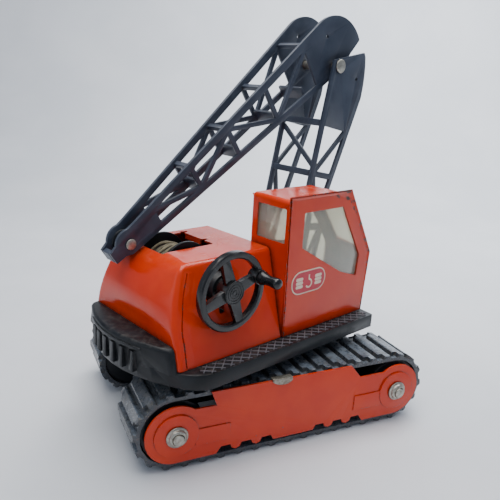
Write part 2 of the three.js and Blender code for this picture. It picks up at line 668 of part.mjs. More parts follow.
// The upper section's side outline. The knuckle is at 0, 0 and the tip lies at minus X.
function upperFrame(side) {
  const shape = new THREE.Shape();
  shape.moveTo(-(UPPER_LENGTH + 13), -4);
  shape.lineTo(-(UPPER_LENGTH + 6), -4);
  shape.lineTo(-(UPPER_LENGTH + 2), UPPER_FOOT);
  shape.lineTo(0, UPPER_FOOT);
  shape.lineTo(29, 1.8);
  shape.absarc(-HEAD.u, HEAD.v, HEAD_R, rad(-3), rad(96.6), false);
  shape.lineTo(-(UPPER_LENGTH - 8), upperTop(UPPER_LENGTH - 8));
  shape.absarc(-UPPER_LENGTH, 0, 9.4, rad(70), rad(148), false);
  shape.lineTo(-(UPPER_LENGTH + 13), 3.7);
  const lock = rad(LOCK_DEG - LOWER_LEAN_DEG - UPPER_FOLD_DEG + UNFOLD_DEG);
  const lockHole = disc(LOCK_R * Math.cos(lock), LOCK_R * Math.sin(lock), 1.3);
  const openings = [disc(0, 0, 3.3), disc(-UPPER_LENGTH, 0, 2.5), lockHole];
  upperBays.forEach(([near, far], i) => {
    const inner = UPPER_FOOT + CHORD;
    const corners = [[-near, inner], [-far, inner], [-far, upperTop(far) - CHORD], [-near, upperTop(near) - CHORD]];
    if (i % 2 === 0) corners.push(corners.shift());
    openings.push(...braceOpenings(corners, 3).map(polygon));
  });
  const taper = Math.atan((UPPER_HALF - TIP_HALF) / UPPER_LENGTH);
  const plate = piercedPlate(shape, openings, -FRAME_THICK / 2, FRAME_THICK / 2);
  return plate.rotateZ(side * taper).translate(0, side * (UPPER_HALF - FRAME_THICK / 2), 0);
}

// The lower section's side outline, upright, with the foot pin at 0, 0.
function lowerFrame(side) {
  const shape = new THREE.Shape();
  shape.absarc(0, 0, 6.5, Math.PI, 1.75 * Math.PI, false);
  shape.lineTo(lowerFront(8), 8);
  shape.lineTo(lowerFront(136.5), 136.5);
  shape.quadraticCurveTo(30, 152, 25.2, 164.6);
  shape.lineTo(23.1, 167);
  shape.lineTo(LOWER_REAR, 154.6);
  const lock = rad(LOCK_DEG);
  const lockHole = disc(LOCK_R * Math.cos(lock), LOWER_LENGTH + LOCK_R * Math.sin(lock), 1.3);
  const openings = [disc(0, 0, 2.8), disc(0, LOWER_LENGTH, 3.3), lockHole];
  lowerBays.forEach(([low, high], i) => {
    const rear = LOWER_REAR + CHORD;
    const corners = [[rear, low], [lowerFront(low) - CHORD, low], [lowerFront(high) - CHORD, high], [rear, high]];
    if (i % 2 === 1) corners.push(corners.shift());
    openings.push(...braceOpenings(corners, 3).map(polygon));
  });
  const outer = side * LOWER_HALF;
  const inner = outer - side * FRAME_THICK;
  return piercedPlate(shape, openings, Math.min(inner, outer), Math.max(inner, outer));
}

function buildLowerBoom() {
  const group = new THREE.Group();
  group.position.set(FOOT.x, BOOM_Y, FOOT.z);
  group.rotation.y = rad(LOWER_LEAN_DEG);
  group.add(part('lower_boom_frame_right', lowerFrame(-1), blackPlastic));
  group.add(part('lower_boom_frame_left', lowerFrame(1), blackPlastic));
  const half = LOWER_HALF - FRAME_THICK - GAP;
  for (const [i, u] of [41.5, 77.5, 112.5].entries()) {
    const rear = block(LOWER_REAR, LOWER_REAR + 2.6, -half, half, u - 2.2, u + 2.2);
    group.add(part(`lower_rear_tie_${i + 1}`, rear, blackPlastic));
  }
  for (const [i, u] of [41.5, 77.5].entries()) {
    const front = block(lowerFront(u) - 4, lowerFront(u) - 1.4, -half, half, u - 2.2, u + 2.2);
    group.add(part(`lower_front_tie_${i + 1}`, front, blackPlastic));
  }
  const brace = polygon([[half, 109.5], [half, 105.5], [-half, 80.5], [-half, 84.5]]);
  const bar = new THREE.ExtrudeGeometry(brace, { depth: 2.2, bevelEnabled: false });
  bar.rotateX(Math.PI / 2).rotateZ(Math.PI / 2).translate(LOWER_REAR + 2.4, 0, 0);
  group.add(part('lower_rear_brace', bar, blackPlastic));
  const reach = LOWER_HALF + GAP;
  group.add(part('boom_foot_pin', headedPin(2.5, 4, 1.2, -reach, reach), zincSteel));
  const pin = headedPin(3, 4.6, 1.3, -reach, reach).translate(0, 0, LOWER_LENGTH);
  group.add(part('knuckle_pin', pin, zincSteel));
  return group;
}

function buildUpperBoom() {
  const group = new THREE.Group();
  group.position.set(knuckle.x, BOOM_Y, knuckle.z);
  group.rotation.y = -rad(UPPER_FOLD_DEG);
  group.add(part('upper_boom_frame_right', upperFrame(-1), blackPlastic));
  group.add(part('upper_boom_frame_left', upperFrame(1), blackPlastic));
  const room = (u) => upperHalf(u) - FRAME_THICK - GAP - 0.15;
  for (const [i, u] of [18, 60, 98, 131.5].entries()) {
    const top = block(-u - 1.6, -u + 1.6, -room(u), room(u), upperTop(u) - 3.9, upperTop(u) - 0.9);
    group.add(part(`upper_top_tie_${i + 1}`, top, blackPlastic));
  }
  for (const [i, u] of [31, 60, 97.5, 131.5].entries()) {
    const web = block(-u - 1, -u + 1, -room(u), room(u), UPPER_FOOT + 0.4, UPPER_FOOT + 9);
    group.add(part(`upper_bottom_tie_${i + 1}`, web, blackPlastic));
  }
  const nose = UPPER_LENGTH + 10;
  const wall = block(-nose - 3, -nose, -room(nose + 3), room(nose + 3), -3.9, 3.6);
  group.add(part('boom_nose', wall, blackPlastic));
  const pin = headedPin(2.2, 3.3, 0.8, -TIP_HALF - GAP, TIP_HALF + GAP).translate(-UPPER_LENGTH, 0, 0);
  group.add(part('tip_pin', pin, zincSteel));
  const sheave = turned([
    [2.5, -3], [SHEAVE_R, -3], [SHEAVE_R, -2], [SHEAVE_R - 2.8, -1], [SHEAVE_R - 2.8, 1], [SHEAVE_R, 2],
    [SHEAVE_R, 3], [2.5, 3], [2.5, -3],
  ], 32);
  group.add(part('tip_sheave', sheave.translate(-UPPER_LENGTH, 0, 0), blackPlastic));
  return group;
}

// Two ears on a base, standing between the boom's frames.
function boomBracket() {
  const ear = new THREE.Shape();
  ear.moveTo(-13, 0);
  ear.lineTo(13, 0);
  ear.lineTo(5.5, FOOT.z - DECK_TOP + 2);
  ear.absarc(0, FOOT.z - DECK_TOP - GAP, 5.8, rad(20), rad(160), false);
  const hole = disc(0, FOOT.z - DECK_TOP - GAP, 2.8);
  const outer = LOWER_HALF - FRAME_THICK - GAP - 0.2;
  const ears = [piercedPlate(ear, [hole], -outer, -outer + 3), piercedPlate(ear, [hole], outer - 3, outer)];
  const base = block(-13, 13, -outer, outer, 0, 2.4);
  return join(base, ...ears).translate(FOOT.x, BOOM_Y, DECK_TOP + GAP);
}

// ---- assembly --------------------------------------------------------------------------------
const crane = new THREE.Group();
crane.add(buildUndercarriage());
crane.add(part('deck', deck(), blackPlastic));
crane.add(part('house_shell', houseShell(), orangePaint));
crane.add(part('cab_shell', cabShell(), orangePaint));
crane.add(part('cab_glazing', cabGlazing(), clearPlastic));
crane.add(part('door_badge', doorBadge(), redSticker));
crane.add(part('boom_bracket', boomBracket(), blackPlastic));
addWinch(crane);
crane.add(buildLowerBoom());
crane.add(buildUpperBoom());

export default crane;
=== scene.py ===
"""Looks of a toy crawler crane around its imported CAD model. Lengths are millimetres until a mesh is made."""
import math

import bmesh
import bpy
from mathutils import Matrix, Vector


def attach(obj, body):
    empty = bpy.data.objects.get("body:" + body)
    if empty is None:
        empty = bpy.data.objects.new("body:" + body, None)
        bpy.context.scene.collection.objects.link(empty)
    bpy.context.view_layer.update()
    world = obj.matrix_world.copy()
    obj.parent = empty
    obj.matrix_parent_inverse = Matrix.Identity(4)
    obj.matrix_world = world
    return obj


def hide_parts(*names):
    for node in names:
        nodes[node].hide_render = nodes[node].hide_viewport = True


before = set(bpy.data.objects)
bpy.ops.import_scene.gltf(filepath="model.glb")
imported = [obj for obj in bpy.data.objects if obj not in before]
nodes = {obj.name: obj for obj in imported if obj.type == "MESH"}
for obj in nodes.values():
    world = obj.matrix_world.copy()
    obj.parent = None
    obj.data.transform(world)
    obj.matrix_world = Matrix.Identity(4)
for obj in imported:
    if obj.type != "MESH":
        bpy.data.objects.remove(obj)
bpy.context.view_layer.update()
MM = 0.001

# ---- camera ----------------------------------------------------------------------------------
CAMERA_PLACE = (-257.4, -266.8, 217.0)
CAMERA_HEADING = 46.65  # degrees from +X towards +Y
CAMERA_PITCH = -16.68
CAMERA_ROLL = 3.41
CAMERA_LENS = 41.6


def add_camera():
    heading, pitch, roll = (math.radians(a) for a in (CAMERA_HEADING, CAMERA_PITCH, CAMERA_ROLL))
    reach = math.cos(pitch)
    ahead = Vector((math.cos(heading) * reach, math.sin(heading) * reach, math.sin(pitch)))
    level = Vector((math.sin(heading), -math.cos(heading), 0))
    upright = level.cross(ahead)
    right = math.cos(roll) * level + math.sin(roll) * upright
    up = -math.sin(roll) * level + math.cos(roll) * upright
    camera = bpy.data.objects.new("camera", bpy.data.cameras.new("camera"))
    bpy.context.scene.collection.objects.link(camera)
    facing = Matrix((right, up, -ahead)).transposed().to_4x4()
    camera.matrix_world = Matrix.Translation(Vector(CAMERA_PLACE) * MM) @ facing
    camera.data.lens = CAMERA_LENS
    camera.data.sensor_width = 36
    camera.data.clip_start = 0.01
    bpy.context.scene.camera = camera


# ---- driving dimensions ----------------------------------------------------------------------
SHEET = 0.9
TRACK_YAW = math.radians(-17.7)
AXLE_X = 75.5
AXLE_Z = 24
BELT_R = 24
BELT_INNER_R = 19.7
BELT_WIDTH = 36.8
BELT_MIDDLE = 46.4
LUG_COUNT = 40
LUG_HEIGHT = 2.9
DECK_TOP = 65
DECK_HALF = 56.8
TREAD_REAR = -84
TREAD_FRONT = 58
TREAD_INSIDE = 47.4
TREAD_EDGE = 1.2  # kept clear along the deck's edge
HOUSE_FOOT = 65.3
HOUSE_TOP = 119
HOUSE_FRONT = -19
HOUSE_TOP_HALF = 31
HOUSE_FOOT_HALF = 46
HOUSE_REAR = -95
HOUSE_UPRIGHT = 82
HOUSE_CORNER_R = 3
OPENING_REAR = -80.4
OPENING_FRONT = -42.6
OPENING_RIGHT = -8
OPENING_LEFT = 24
CAB_REAR = -17.8
CAB_RIGHT = -46.4
CAB_LEFT = -11.7
CAB_TOP = 150
CAB_ROOF_FRONT = 35
CAB_NOSE = 61
CAB_NOSE_Z = 106.6
CAB_FOOT_FRONT = 60.4
BADGE_PLACE = (2, 0, 98)
WINCH_X = -61
WINCH_Z = 104.2
CORE_R = 9
CORD_LEFT = 20.6
CORD_RIGHT = -1.6
CORD_R = 1.0
WHEEL_Y = -46
HUB_HOLE_R = 11.2

# The backdrop runs along the camera's heading: a floor, a sweep and a wall.
FLOOR_NEAR = -1600
FLOOR_FAR = 500
FLOOR_HALF = 2600
SWEEP_R = 500
BACKDROP_TOP = 2200


# ---- material helper -------------------------------------------------------------------------
class Finish:
    """A node material. Places are in the object's own metres, so the pattern stays with its piece."""

    def __init__(self, name):
        self.material = bpy.data.materials.new(name)
        self.material.use_nodes = True
        self.nodes = self.material.node_tree.nodes
        self.links = self.material.node_tree.links
        self.shader = self.nodes["Principled BSDF"]
        self.place = self.add("ShaderNodeTexCoord").outputs["Object"]
        self.geometry = self.add("ShaderNodeNewGeometry")

    def add(self, kind, **values):
        node = self.nodes.new(kind)
        for key, value in values.items():
            setattr(node, key, value)
        return node

    def feed(self, socket, value):
        if isinstance(value, bpy.types.NodeSocket):
            self.links.new(value, socket)
        else:
            socket.default_value = value

    def stretched(self, scale):
        node = self.add("ShaderNodeMapping")
        self.links.new(self.place, node.inputs["Vector"])
        node.inputs["Scale"].default_value = scale
        return node.outputs["Vector"]

    def noise(self, size_mm, detail=4.0, roughness=0.55, place=None):
        node = self.add("ShaderNodeTexNoise")
        self.links.new(place or self.place, node.inputs["Vector"])
        node.inputs["Scale"].default_value = 1 / (size_mm * MM)
        node.inputs["Detail"].default_value = detail
        node.inputs["Roughness"].default_value = roughness
        return node.outputs["Fac"]

    def cells(self, size_mm):
        node = self.add("ShaderNodeTexVoronoi", feature="F1")
        self.links.new(self.place, node.inputs["Vector"])
        node.inputs["Scale"].default_value = 1 / (size_mm * MM)
        return node.outputs["Distance"]

    def ramp(self, value, low, high, to_low=0.0, to_high=1.0):
        node = self.add("ShaderNodeMapRange", interpolation_type="SMOOTHSTEP")
        self.feed(node.inputs["Value"], value)
        for key, number in (("From Min", low), ("From Max", high), ("To Min", to_low), ("To Max", to_high)):
            node.inputs[key].default_value = number
        return node.outputs["Result"]

    def math(self, operation, a, b=0.0):
        node = self.add("ShaderNodeMath", operation=operation)
        self.feed(node.inputs[0], a)
        self.feed(node.inputs[1], b)
        return node.outputs[0]

    def mix(self, share, a, b):
        node = self.add("ShaderNodeMix", data_type="RGBA")
        self.feed(node.inputs["Factor"], share)
        self.feed(node.inputs["A"], a)
        self.feed(node.inputs["B"], b)
        return node.outputs["Result"]

    def facing_up(self):
        split = self.add("ShaderNodeSeparateXYZ")
        self.links.new(self.geometry.outputs["Normal"], split.inputs[0])
        return split.outputs["Z"]

    def edges(self, radius_mm):
        """1 on the piece's edges, within a radius, and 0 on its flats."""
        bevel = self.add("ShaderNodeBevel", samples=6)
        bevel.inputs["Radius"].default_value = radius_mm * MM
        dot = self.add("ShaderNodeVectorMath", operation="DOT_PRODUCT")
        self.links.new(bevel.outputs["Normal"], dot.inputs[0])
        self.links.new(self.geometry.outputs["Normal"], dot.inputs[1])
        return self.math("SUBTRACT", 1.0, dot.outputs["Value"])

    def hollows(self, reach_mm):
        """1 deep in a corner between pieces, and 0 in the open."""
        shade = self.add("ShaderNodeAmbientOcclusion", samples=8)
        shade.inputs["Distance"].default_value = reach_mm * MM
        return self.ramp(shade.outputs["AO"], 0.35, 0.95, 1.0, 0.0)

    def bump(self, height, depth_mm, after=None):
        node = self.add("ShaderNodeBump")
        node.inputs["Distance"].default_value = depth_mm * MM
        node.inputs["Strength"].default_value = 1.0
        self.links.new(height, node.inputs["Height"])
        if after:
            self.links.new(after, node.inputs["Normal"])
        return node.outputs["Normal"]

    def finish(self, colour, roughness, normal=None, metallic=0.0, **plain):
        self.feed(self.shader.inputs["Base Color"], colour)
        self.feed(self.shader.inputs["Roughness"], roughness)
        self.feed(self.shader.inputs["Metallic"], metallic)
        if normal:
            self.links.new(normal, self.shader.inputs["Normal"])
        for key, value in plain.items():
            self.shader.inputs[key.replace("_", " ")].default_value = value
        return self.material


def rgb(red, green, blue):
    """A colour from screen values, 0 to 255, as linear light."""
    return tuple((v / 255) ** 2.2 for v in (red, green, blue)) + (1.0,)


# ---- materials -------------------------------------------------------------------------------
def orange_enamel():
    f = Finish("orange_enamel")
    cloudy = f.ramp(f.noise(26, 3), 0.3, 0.7)
    colour = f.mix(cloudy, rgb(198, 46, 6), rgb(208, 56, 10))
    # Painted shade: the paint darkens towards a deep red-brown in hollows and corners between pieces, broken
    # up by noise.
    painted_hollow_shade = f.math("MULTIPLY", f.hollows(6), f.ramp(f.noise(3.5, 6), 0.35, 0.7, 0.35, 0.9))
    colour = f.mix(painted_hollow_shade, colour, rgb(112, 40, 18))
    up = f.ramp(f.facing_up(), 0.55, 0.98)
    # A pale pinkish film on upward faces: partly dust and partly painted reflection of the overhead light; it
    # also roughens the paint there.
    pale_film = f.math("MULTIPLY", up, f.ramp(f.noise(9, 6, 0.6), 0.4, 0.75, 0.0, 0.2))
    colour = f.mix(pale_film, colour, rgb(222, 140, 100))
    streaks = f.ramp(f.noise(2.2, 8, 0.7, f.stretched((1.0, 0.35, 1.0))), 0.66, 0.74)
    scuffs = f.math("MULTIPLY", f.math("MULTIPLY", streaks, up), 0.35)
    colour = f.mix(scuffs, colour, rgb(150, 70, 40))
    specks = f.math("MULTIPLY", f.ramp(f.cells(9), 0.035, 0.06, 1.0, 0.0), f.ramp(f.noise(14, 2), 0.52, 0.6))
    chipped = f.math("MULTIPLY", f.ramp(f.edges(0.9), 0.03, 0.16), f.ramp(f.noise(5.5, 6, 0.7), 0.52, 0.57))
    bare = f.math("MAXIMUM", specks, chipped)
    metal_tone = f.mix(f.ramp(f.noise(1.1, 4), 0.4, 0.6), rgb(52, 34, 26), rgb(98, 82, 72))
    colour = f.mix(bare, colour, metal_tone)
    smudges = f.ramp(f.noise(11, 6, 0.6), 0.35, 0.7, 0.14, 0.26)
    roughness = f.math("ADD", smudges, f.math("MULTIPLY", f.math("MAXIMUM", bare, pale_film), 0.45))
    peel = f.bump(f.noise(2.4, 2), 0.022)
    dents = f.bump(f.noise(38, 2), 0.35, peel)
    lifted = f.bump(f.math("SUBTRACT", 1.0, bare), 0.06, dents)
    return f.finish(colour, roughness, lifted, Specular_IOR_Level=0.42, IOR=1.5)


def black_moulding(name, tone=(15, 18, 22), gloss=0.3, dusty=0.22, grain_mm=0.5, worn=0.5, shine=0.3):
    f = Finish(name)
    base = rgb(*tone)
    paler = rgb(*(v + 14 for v in tone))
    colour = f.mix(f.ramp(f.noise(16, 4), 0.35, 0.7), base, paler)
    patches = f.ramp(f.noise(3.2, 8, 0.7), 0.45, 0.72, 0.0, dusty)
    pale_film = f.math("MULTIPLY", f.ramp(f.facing_up(), 0.3, 0.95), patches)
    settled = f.math("MULTIPLY", f.hollows(4), f.ramp(f.noise(2, 6), 0.4, 0.7, 0.0, 0.4 * dusty))
    pale_film = f.math("MAXIMUM", pale_film, settled)
    colour = f.mix(pale_film, colour, rgb(118, 112, 104))
    worn_places = f.ramp(f.noise(2.4, 6, 0.7), 0.48, 0.66, 0.0, worn)
    rubbed = f.math("MULTIPLY", f.ramp(f.edges(0.6), 0.03, 0.2), worn_places)
    colour = f.mix(rubbed, colour, rgb(120, 124, 128))
    smudges = f.ramp(f.noise(8, 6, 0.6), 0.3, 0.7, gloss, gloss + 0.16)
    roughness = f.math("ADD", smudges, f.math("MULTIPLY", pale_film, 0.5))
    grain = f.bump(f.noise(grain_mm, 3), 0.012)
    sink = f.bump(f.noise(14, 2), 0.08, grain)
    return f.finish(colour, roughness, sink, Specular_IOR_Level=shine, IOR=1.5)


def track_rubber():
    f = Finish("track_rubber")
    colour = f.mix(f.ramp(f.noise(9, 5), 0.35, 0.7), rgb(52, 57, 64), rgb(70, 74, 80))
    pale_film = f.ramp(f.noise(4.2, 8, 0.72), 0.44, 0.74, 0.0, 0.55)
    worn = f.math("MULTIPLY", f.ramp(f.facing_up(), -0.2, 0.6, 0.35, 1.0), pale_film)
    settled = f.math("MULTIPLY", f.hollows(2.5), f.ramp(f.noise(1.6, 6), 0.35, 0.65, 0.1, 0.6))
    soiled = f.math("MAXIMUM", worn, settled)
    colour = f.mix(soiled, colour, rgb(112, 104, 90))
    # Painted reflection: patches of the upward pads are lightened to a bluish grey, standing in for the bright
    # surroundings mirrored in the rubber.
    sheen_patches = f.ramp(f.noise(5, 4), 0.4, 0.6, 0.2, 0.65)
    painted_sheen = f.math("MULTIPLY", f.ramp(f.facing_up(), 0.75, 0.98), sheen_patches)
    colour = f.mix(painted_sheen, colour, rgb(108, 118, 130))
    dirty_places = f.ramp(f.noise(7, 3), 0.5, 0.62, 0.0, 0.6)
    crumbs = f.math("MULTIPLY", f.ramp(f.cells(1.4), 0.12, 0.3, 1.0, 0.0), dirty_places)
    colour = f.mix(crumbs, colour, rgb(146, 136, 112))
    roughness = f.math("ADD", f.ramp(f.noise(3, 5), 0.3, 0.7, 0.2, 0.36), f.math("MULTIPLY", soiled, 0.35))
    cast = f.bump(f.noise(0.9, 5, 0.6), 0.05)
    return f.finish(colour, roughness, cast, IOR=1.6)


def zinc_steel(name, darkening):
    f = Finish(name)
    colour = f.mix(f.ramp(f.noise(2.6, 6), 0.35, 0.7), rgb(160, 158, 148), rgb(188, 186, 174))
    # A higher darkening value spreads the tarnish further; for the hanger it also carries painted shade.
    tarnish = f.ramp(f.noise(1.7, 8, 0.7), 0.68 - 0.4 * darkening, 0.7, 0.0, darkening)
    soiled = f.math("MAXIMUM", tarnish, f.math("MULTIPLY", f.hollows(2), 0.75))
    colour = f.mix(soiled, colour, rgb(112, 98, 82))
    roughness = f.math("ADD", f.ramp(f.noise(1.2, 5), 0.3, 0.7, 0.28, 0.44), f.math("MULTIPLY", soiled, 0.3))
    pitted = f.bump(f.noise(0.5, 6, 0.65), 0.03)
    return f.finish(colour, roughness, pitted, metallic=0.85)


def window_plastic():
    f = Finish("window_plastic")
    haze = f.ramp(f.noise(12, 6, 0.6), 0.35, 0.7, 0.03, 0.1)
    colour = f.mix(f.ramp(f.noise(30, 3), 0.3, 0.7), rgb(246, 243, 226), rgb(238, 235, 214))
    ripple = f.bump(f.noise(20, 2), 0.15)
    fine = f.bump(f.noise(0.8, 4), 0.004, ripple)
    return f.finish(colour, haze, fine, Transmission_Weight=0.8, IOR=1.46)


def cotton_cord():
    f = Finish("cotton_cord")
    colour = f.mix(f.ramp(f.noise(2.6, 6), 0.35, 0.7), rgb(112, 102, 80), rgb(148, 138, 108))
    # Painted shade: the cord darkens almost to black where its turns lie close together.
    colour = f.mix(f.math("MULTIPLY", f.hollows(2.4), 0.95), colour, rgb(40, 34, 26))
    fibres = f.bump(f.noise(0.22, 6, 0.7), 0.1)
    return f.finish(colour, 0.92, fibres, Sheen_Weight=0.3)


def printed_sticker(name, tone, wear):
    f = Finish(name)
    rubbed = f.ramp(f.noise(1.6, 8, 0.7), 0.62, 0.7, 0.0, wear)
    colour = f.mix(f.ramp(f.noise(7, 4), 0.3, 0.7), rgb(*tone), rgb(*(max(0, v - 14) for v in tone)))
    colour = f.mix(rubbed, colour, rgb(208, 70, 30))
    return f.finish(colour, f.ramp(f.noise(3, 4), 0.3, 0.7, 0.3, 0.42), f.bump(f.noise(1.5, 3), 0.01))


def studio_surface():
    f = Finish("studio_surface")
    colour = f.mix(f.ramp(f.noise(160, 4), 0.3, 0.7), rgb(212, 215, 220), rgb(221, 223, 227))
    return f.finish(colour, 0.7, f.bump(f.noise(6, 5), 0.08))


enamel = orange_enamel()
moulding = black_moulding("black_moulding")
# The boom's black plastic gets a pale bluish-grey tone: painted reflection of the bright surroundings.
boom_moulding = black_moulding("boom_moulding", (48, 55, 68), 0.3, 0.22, shine=0.5)
glossy_moulding = black_moulding("glossy_moulding", (16, 17, 19), 0.14, 0.12, 1.2, shine=0.55)
rubber = track_rubber()
steel = zinc_steel("zinc_steel", 0.6)
# The hanger steel is darkened further than the rest: tarnish and soil, plus painted shade for its place under
# the deck's edge.
soiled_shaded_steel = zinc_steel("soiled_shaded_steel", 0.95)
window = window_plastic()
cotton = cotton_cord()


# ---- mesh helpers ----------------------------------------------------------------------------
def dress(node, material, edge=0.3, segments=2, flats=True, angle=32):
    """Gives a CAD node its material, and softens its edges with modifiers."""
    piece = nodes[node]
    piece.material_slots[0].material = material
    piece.data.shade_smooth()
    if edge:
        weld = piece.modifiers.new("weld", "WELD")
        weld.merge_threshold = 0.002 * MM
        if flats:
            merged = piece.modifiers.new("merged_flats", "DECIMATE")
            merged.decimate_type = "DISSOLVE"
            merged.angle_limit = math.radians(1)
        soften(piece, edge, segments, angle)


def soften(piece, edge, segments=2, angle=32):
    bevel = piece.modifiers.new("soft_edges", "BEVEL")
    bevel.width = edge * MM
    bevel.segments = segments
    bevel.limit_method = "ANGLE"
    bevel.angle_limit = math.radians(angle)
    bevel.harden_normals = True
    bevel.miter_outer = "MITER_ARC"


def make(name, bm, material, smooth=34):
    """A piece from a bmesh whose vertices are in millimetres."""
    bmesh.ops.scale(bm, vec=(MM, MM, MM), verts=bm.verts)
    bmesh.ops.recalc_face_normals(bm, faces=bm.faces)
    mesh = bpy.data.meshes.new(name)
    bm.to_mesh(mesh)
    bm.free()
    mesh.materials.append(material)
    mesh.shade_smooth()
    if smooth:
        mesh.set_sharp_from_angle(angle=math.radians(smooth))
    piece = bpy.data.objects.new(name, mesh)
    bpy.context.scene.collection.objects.link(piece)
    return piece


def settle(piece, smooth=34):
    """Turns a piece's modifiers into its mesh."""
    bpy.context.view_layer.update()
    shown = piece.evaluated_get(bpy.context.evaluated_depsgraph_get())
    mesh = bpy.data.meshes.new_from_object(shown)
    piece.modifiers.clear()
    piece.data = mesh
    if smooth:
        mesh.shade_smooth()
        mesh.set_sharp_from_angle(angle=math.radians(smooth))
    return piece


def keep_flats_flat(piece):
    """Lets large flat faces hold their own normals, so that only the rounded edges shade as round."""
    even = piece.modifiers.new("even_normals", "WEIGHTED_NORMAL")
    even.mode = "FACE_AREA"
    even.weight = 50
    even.keep_sharp = True


def carve(piece, *cutters):
    """Cuts the cutters out of a piece, then drops them."""
    for cutter in cutters:
        cut = piece.modifiers.new("cut", "BOOLEAN")
        cut.operation = "DIFFERENCE"
        cut.solver = "EXACT"
        cut.object = cutter
    settle(piece, smooth=None)
    for cutter in cutters:
        bpy.data.objects.remove(cutter)
    return piece


def settled_on(piece, body, slot, *replaced):
    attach(piece, body)
    if replaced:
        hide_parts(*replaced)
    return piece


def prism(outline, low, high, axis="Y"):
    """A closed prism. Its outline is in X and Z along Y, in X and Y along Z, and in Y and Z along X."""
    bm = bmesh.new()

    def point(pair, depth):
        a, b = pair
        return {"Y": (a, depth, b), "Z": (a, b, depth), "X": (depth, a, b)}[axis]

    ends = [[bm.verts.new(point(pair, depth)) for pair in outline] for depth in (low, high)]
    bm.faces.new(ends[0])
    bm.faces.new(ends[1])
    count = len(outline)
    for i in range(count):
        j = (i + 1) % count
        bm.faces.new((ends[0][i], ends[0][j], ends[1][j], ends[1][i]))
    return bm


def arc(x, y, r, start, end, steps=12):
    """Points of an arc between two angles in degrees."""
    angles = [math.radians(start + (end - start) * i / steps) for i in range(steps + 1)]
    return [(x + r * math.cos(a), y + r * math.sin(a)) for a in angles]


def rounded(outline, radius, steps=4):
    """An outline with every corner turned into an arc."""
    result = []
    count = len(outline)
    for i, corner in enumerate(outline):
        here = Vector(corner)
        back = (Vector(outline[i - 1]) - here)
        on = (Vector(outline[(i + 1) % count]) - here)
        half = back.angle(on) / 2
        reach = min(radius / math.tan(half), back.length * 0.49, on.length * 0.49)
        r = reach * math.tan(half)
        middle = here + (back.normalized() + on.normalized()).normalized() * (r / math.sin(half))
        start = here + back.normalized() * reach - middle
        end = here + on.normalized() * reach - middle
        for k in range(steps + 1):
            spoke = start.slerp(end, k / steps)
            result.append(tuple(middle + spoke))
    return result


def tube(name, path, radius, material, sides=10, closed=False):
    """A round tube along a list of points, as a mesh with closed ends."""
    bm = bmesh.new()
    rings = []
    count = len(path)
    side = None
    for i, p in enumerate(path):
        here = Vector(p)
        after = Vector(path[(i + 1) % count]) if closed or i < count - 1 else here
        before = Vector(path[i - 1]) if closed or i > 0 else here
        along = (after - before).normalized()
        if side is None:
            side = along.orthogonal()
        side = (side - along * side.dot(along)).normalized()
        other = along.cross(side)
        ring = []
        for k in range(sides):
            a = 2 * math.pi * k / sides
            ring.append(bm.verts.new(here + radius * (math.cos(a) * side + math.sin(a) * other)))
        rings.append(ring)
    spans = count if closed else count - 1
    for i in range(spans):
        near, far = rings[i], rings[(i + 1) % count]
        for k in range(sides):
            j = (k + 1) % sides
            bm.faces.new((near[k], near[j], far[j], far[k]))
    if not closed:
        bm.faces.new(rings[0])
        bm.faces.new(rings[-1])
    return make(name, bm, material, smooth=60)


def turned(name, profile, material, place, steps=48, smooth=34):
    """A solid of revolution about the Y axis through a place, from (radius, y) pairs."""
    bm = bmesh.new()
    rings = []
    for r, y in profile:
        if r < 1e-6:
            rings.append([bm.verts.new((place[0], place[1] + y, place[2]))])
            continue
        ring = []
        for k in range(steps):
            a = 2 * math.pi * k / steps
            ring.append(bm.verts.new((place[0] + r * math.cos(a), place[1] + y, place[2] + r * math.sin(a))))
        rings.append(ring)
    for near, far in zip(rings, rings[1:]):
        for k in range(steps):
            j = (k + 1) % steps
            corners = [near[k % len(near)], near[j % len(near)], far[j % len(far)], far[k % len(far)]]
            corners = list(dict.fromkeys(corners))
            if len(corners) > 2:
                bm.faces.new(corners)
    return make(name, bm, material, smooth)


# ---- house -----------------------------------------------------------------------------------
def house_half(z):
    return HOUSE_FOOT_HALF + (HOUSE_TOP_HALF - HOUSE_FOOT_HALF) * (z - DECK_TOP) / (HOUSE_TOP - DECK_TOP)


def edge_inset(z, top, radius):
    """How far a rounded top edge has drawn in at a height."""
    rise = min(0.995, max(0, (z - top + radius) / radius))
    return radius * (1 - math.sqrt(1 - rise ** 2))


def house_rear(y, z):
    """The rear panel: upright at the foot, then leaning forward, with a bend into the roof."""
    share = min(abs(y) / house_half(z), 1)
    lean = 0.022 * max(0, z - HOUSE_UPRIGHT) ** 1.7
    swell = 2.4 * math.sin(math.pi * min(1, max(0, (z - 84) / 28))) * (1 - share ** 2)
    return HOUSE_REAR + lean - swell + edge_inset(z, HOUSE_TOP, 9 - 5 * share ** 3)


def house_outline(z, steps=40):
    """One level of the house: along the right side, round the rear, along the left side."""
    half = house_half(z) - edge_inset(z, HOUSE_TOP, 2.5)
    straight = half - HOUSE_CORNER_R
    points = [(HOUSE_FRONT, -half)]
    for side, angles in ((-1, range(90, -1, -15)), (1, range(0, 91, 15))):
        for degrees in angles:
            a = math.radians(degrees)
            y = side * (straight + HOUSE_CORNER_R * math.sin(a))
            points.append((house_rear(y, z) + HOUSE_CORNER_R * (1 - math.cos(a)), y))
        if side < 0:
            for i in range(1, steps):
                y = straight * (2 * i / steps - 1)
                points.append((house_rear(y, z), y))
    points.append((HOUSE_FRONT, half))
    return points


